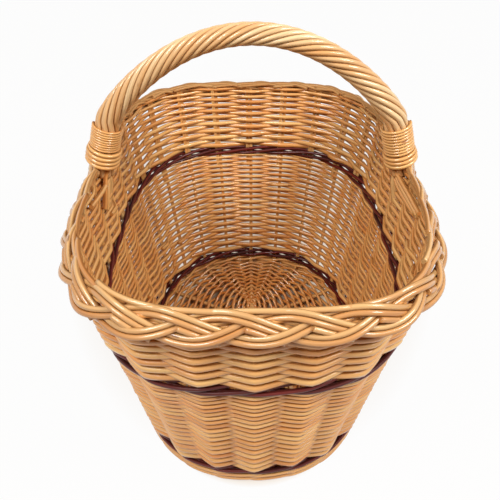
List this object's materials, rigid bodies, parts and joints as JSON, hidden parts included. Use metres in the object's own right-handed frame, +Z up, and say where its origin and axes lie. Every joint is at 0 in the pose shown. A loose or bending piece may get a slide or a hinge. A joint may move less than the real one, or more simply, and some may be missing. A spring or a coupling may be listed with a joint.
{
  "type": "wicker shopping basket",
  "caption": "Deep oval willow shopping basket with two burgundy bands, a plaited border and a fixed roped handle.",
  "frame": {"origin": "middle of the base, on the surface that the basket stands on", "axes": "+Z up; +X across the basket, the way the handle spans; +Y along the basket, away from its front"},
  "size_m": [0.3426, 0.4782, 0.4099],
  "materials": {
    "buff_willow": "Varnished buff willow rods, honey brown, satin gloss",
    "peeled_willow": "Paler peeled willow stakes and sticks, satin",
    "dark_willow": "Willow rods dyed burgundy and varnished"
  },
  "bodies": {
    "root": {"base_cross_stick_1": "peeled_willow", "base_cross_stick_2": "peeled_willow", "base_cross_stick_3": "peeled_willow", "base_cross_stick_4": "peeled_willow", "base_cross_stick_5": "peeled_willow", "base_cross_stick_6": "peeled_willow", "base_cross_stick_7": "peeled_willow", "base_long_stick_1": "peeled_willow", "base_long_stick_2": "peeled_willow", "base_long_stick_3": "peeled_willow", "base_weave": "buff_willow", "foot_wale": "buff_willow", "handle_bow": "peeled_willow", "handle_rope": "buff_willow", "left_binding": "buff_willow", "lower_dark_wale": "dark_willow", "lower_siding": "buff_willow", "plaited_border": "buff_willow", "right_binding": "buff_willow", "stake_pair_01": "peeled_willow", "stake_pair_02": "peeled_willow", "stake_pair_03": "peeled_willow", "stake_pair_04": "peeled_willow", "stake_pair_05": "peeled_willow", "stake_pair_06": "peeled_willow", "stake_pair_07": "peeled_willow", "stake_pair_08": "peeled_willow", "stake_pair_09": "peeled_willow", "stake_pair_10": "peeled_willow", "stake_pair_11": "peeled_willow", "stake_pair_12": "peeled_willow", "stake_pair_13": "peeled_willow", "stake_pair_14": "peeled_willow", "stake_pair_15": "peeled_willow", "stake_pair_16": "peeled_willow", "stake_pair_17": "peeled_willow", "stake_pair_18": "peeled_willow", "stake_pair_19": "peeled_willow", "stake_pair_20": "peeled_willow", "stake_pair_21": "peeled_willow", "stake_pair_22": "peeled_willow", "stake_pair_23": "peeled_willow", "stake_pair_24": "peeled_willow", "stake_pair_25": "peeled_willow", "stake_pair_26": "peeled_willow", "stake_pair_27": "peeled_willow", "stake_pair_28": "peeled_willow", "upper_dark_wale": "dark_willow", "upper_siding": "buff_willow"}
  },
  "joints": []
}
